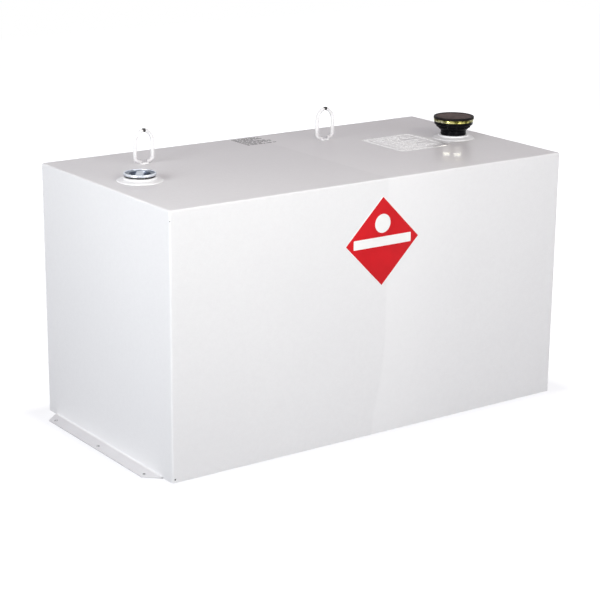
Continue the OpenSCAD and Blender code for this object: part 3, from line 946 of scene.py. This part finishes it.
def link_centreline(node):
    """Centreline of a link as (x, z, angle), from the end of its right foot to the end of its left one."""
    size = size_mm(node)
    bar_r = size.y / 2
    half_w = size.x / 2 - bar_r
    bend_x = half_w - LINK_BEND_R
    leg_z = bar_r + LINK_BEND_R
    spring_z = leg_z + LINK_LEG
    shoulder_x = LINK_SHOULDER_R - half_w
    crown_rise = math.sqrt((LINK_SHOULDER_R - LINK_CROWN_R) ** 2 - shoulder_x ** 2)
    crown_angle = math.atan2(crown_rise, shoulder_x)
    # Each arc has its centre's x and z, its radius, its two angles and its steps
    arcs = (
        (bend_x, leg_z, LINK_BEND_R, 1.5 * math.pi, 2 * math.pi, 14),
        (-shoulder_x, spring_z, LINK_SHOULDER_R, 0, crown_angle, 16),
        (0, spring_z + crown_rise, LINK_CROWN_R, crown_angle, math.pi - crown_angle, 16),
        (shoulder_x, spring_z, LINK_SHOULDER_R, math.pi - crown_angle, math.pi, 16),
        (-bend_x, leg_z, LINK_BEND_R, math.pi, 1.5 * math.pi, 14),
    )
    end_x = LINK_GAP / 2
    line = [(end_x, bar_r, 1.5 * math.pi), (end_x + LINK_CHAMFER, bar_r, 1.5 * math.pi)]
    for x, z, radius, start, end, steps in arcs:
        for k in range(steps + 1):
            angle = start + (end - start) * k / steps
            place = Vector((x + radius * math.cos(angle), z + radius * math.sin(angle)))
            if (place - Vector(line[-1][:2])).length > 0.01:
                line.append((place.x, place.y, angle))
    line += [(-end_x - LINK_CHAMFER, bar_r, 1.5 * math.pi), (-end_x, bar_r, 1.5 * math.pi)]
    return line, bar_r


def make_link(node, material):
    """Link of round bar with chamfered ends."""
    line, bar_r = link_centreline(node)
    sides = 28
    rings = []
    for i, (x, z, angle) in enumerate(line):
        out = Vector((math.cos(angle), 0, math.sin(angle)))
        r = bar_r - LINK_CHAMFER if i in (0, len(line) - 1) else bar_r
        ring = []
        for k in range(sides):
            turn = 2 * math.pi * k / sides
            ring.append(Vector((x, 0, z)) + r * (out * math.cos(turn) + Vector((0, math.sin(turn), 0))))
        rings.append(ring)
    make_piece(
        node + "_bar", [loft(rings)], foot_mm(node),
        material, "tank", [node], sharp=80,
    )


def make_link_weld(node, paint):
    """Low rippled weld that runs between the ends of a link's bar and laps both."""
    size = size_mm(node)
    count, sunk, pitch = 90, 0.2, 2.4
    spine = [Vector((size.x * (i / count - 0.5), 0, -sunk)) for i in range(count + 1)]
    outs, ups = [Vector((0, 1, 0))] * (count + 1), [Vector((0, 0, 1))] * (count + 1)
    part = bead(spine, outs, ups, size.y / 2 - 0.3, 0.85 * size.z, pitch, closed=False, sweep=180.0)
    make_piece(node + "_bead", [part], foot_mm(node), paint, "tank", [node])


# ---------------------------------------------------------------- placard and prints


def turned_square(side):
    """Corners of a square that stands on one corner."""
    reach = side / math.sqrt(2)
    return [(reach, 0), (0, reach), (-reach, 0), (0, -reach)]


def stand_up(part):
    """A flat part turned to face the front, its height towards -Y."""
    verts, faces = part
    return [Vector((x, -z, y)) for x, y, z in verts], faces


def make_placard(red, white):
    """Plain red placard on its corner, with a pale margin, a blank band and a blank disc."""
    low, high = low_mm("front_placard"), high_mm("front_placard")
    centre = Vector(((low.x + high.x) / 2, high.y, (low.z + high.z) / 2))
    side = (high.x - low.x) / math.sqrt(2)
    thickness, margin = high.y - low.y, 1.6
    # Each layer starts inside the one behind it
    back = prism(turned_square(side), 0.02, thickness - 0.12, 0.1)
    make_piece("placard_back", [stand_up(back)], centre, white, "tank", ["front_placard"])
    face = prism(turned_square(side - 2 * margin), 0.1, thickness - 0.04, 0.05)
    make_piece("placard_face", [stand_up(face)], centre, red, "tank")

    band_x, band_y, corner_r, print_foot = 82, 11, 2, thickness - 0.1
    band = rounded([
        (-band_x, -band_y, corner_r), (band_x, -band_y, corner_r),
        (band_x, band_y, corner_r), (-band_x, band_y, corner_r),
    ])
    disc_r, disc_rise, steps = 22, 42, 64
    disc = [on_circle(disc_r, 2 * math.pi * k / steps)[:2] for k in range(steps)]
    disc = [(x, y + disc_rise) for x, y in disc]
    parts = [stand_up(prism(outline, print_foot, thickness)) for outline in (band, disc)]
    make_piece("placard_print", parts, centre, white, "tank")


def border(half_x, half_y, radius, width):
    """Rounded border: a raised strip of that width with sloping sides."""
    height, slope = 0.6, 0.15
    outline = rounded([
        (half_x, -half_y, radius), (half_x, half_y, radius),
        (-half_x, half_y, radius), (-half_x, -half_y, radius),
    ], 8)
    rings = []
    for outer in outline:
        inner = Vector((
            max(abs(outer.x) - width, 0) * math.copysign(1, outer.x),
            max(abs(outer.y) - width, 0) * math.copysign(1, outer.y),
        ))
        outer_top, inner_top = outer.lerp(inner, slope), outer.lerp(inner, 1 - slope)
        rings.append([
            Vector((outer.x, outer.y, 0.0)),
            Vector((outer_top.x, outer_top.y, height)),
            Vector((inner_top.x, inner_top.y, height)),
            Vector((inner.x, inner.y, 0.0)),
        ])
    return loft(rings, along=True)


def dashes(half_x, half_y, pitch, tall, thick):
    """Rows of plain dashes of changing length, in place of print. Every fourth row ends early."""
    lengths, gap, short_end = (14, 8, 19, 11, 6, 16, 10, 22, 9), 3.0, 0.3
    parts = []
    used = 0
    for row in range(int(2 * half_y / pitch) + 1):
        y = half_y - row * pitch
        x = -half_x
        end = half_x if row % 4 != 3 else half_x * short_end
        while True:
            length = lengths[used % len(lengths)]
            used += 1
            if x + length > end:
                break
            corners = [(x, y - tall), (x + length, y - tall), (x + length, y), (x, y)]
            parts.append(prism(corners, 0.0, thick))
            x += length + gap
    return parts


def make_prints(light_ink, dark_ink):
    """Two blocks of plain dashes on the top sheet: a light one in a border, and a dark one farther back."""
    light_centre, dark_centre = Vector((312, 12, TOP_Z)), Vector((8, 231, TOP_Z))
    light = [border(half_x=76, half_y=84, radius=14, width=10)]
    light += dashes(half_x=60, half_y=68, pitch=12, tall=5, thick=0.5)
    make_piece("light_print", light, light_centre, light_ink, "tank")
    dark = dashes(half_x=44, half_y=38, pitch=9, tall=3.6, thick=0.1)
    make_piece("dark_print", dark, dark_centre, dark_ink, "tank")


# ---------------------------------------------------------------- the whole scene


def make_floor():
    """Level floor under the tank."""
    bpy.ops.mesh.primitive_plane_add(size=12)
    floor = bpy.context.object
    floor.name = "floor"
    floor.data.materials.append(floor_white())


bpy.context.scene.view_settings.view_transform = "Standard"
make_camera()
make_lamps()
make_glints()
make_world()
make_floor()

# Chips at the near corner: one in its weld, one by its foot
weld_chip = ((-WALL_X + 1.2, -WALL_Y + 1.2, TOP_Z - 23), 1.3)
foot_chip = ((-WALL_X + 7, -WALL_Y, 8), 2.2)
paint = white_paint("white_paint", [weld_chip, foot_chip])
make_shell(paint)
make_corner_welds(paint)

for opening in ("bung", "fill"):
    make_weld_flange(opening + "_flange", paint)
    make_ring_weld(opening + "_flange_weld", paint)

seal = rubber()
# The shell is painted dark inside its rim as a reflection, and the grip is a paler copy of the zinc as a
# painted highlight
make_plug_shell(zinc_plate("zinc_plate", (0.10, 0.12, 0.16, 1), (0.22, 0.25, 0.31, 1)))
make_plug_grip(zinc_plate("zinc_grip", (0.40, 0.44, 0.52, 1), (0.62, 0.66, 0.73, 1)))
make_ring("bung_plug_seal", "bung_plug_gasket", SHANK_R, 1.5, seal, "plug")

plastic = black_plastic()
make_fill_neck(plastic)
make_cap_body(plastic)
make_cap_band(brass_band())
make_cap_cover(
    dark_cover("cover_rim", (0.006, 0.005, 0.005, 1), (0.014, 0.010, 0.010, 1)),
    dark_cover("cover_disc", (0.036, 0.020, 0.018, 1), (0.085, 0.046, 0.042, 1)),
)
make_ring("fill_cap_seal", "fill_cap_gasket", 19, 0.6, seal, "cap")

# Each link is worn to the metal at its crown, and painted darker towards its foot as shade near the top
# sheet
bare_drop, bare_r, foot_shade_height = 4, 6.0, 45
for side in ("left", "right"):
    link = side + "_lifting_link"
    crown = middle_mm(link)
    crown.z = high_mm(link).z - bare_drop
    link_paint = white_paint(side + "_link_paint", [(crown, bare_r)], foot_shade_from=TOP_Z + foot_shade_height)
    make_link(link, link_paint)
    make_link_weld(side + "_link_weld", paint)

make_placard(
    vinyl("red_vinyl", (0.62, 0.008, 0.014, 1), (0.55, 0.007, 0.012, 1)),
    vinyl("white_vinyl", (0.90, 0.90, 0.89, 1), (0.85, 0.85, 0.84, 1)),
)
make_prints(gloss_print(), dark_print())
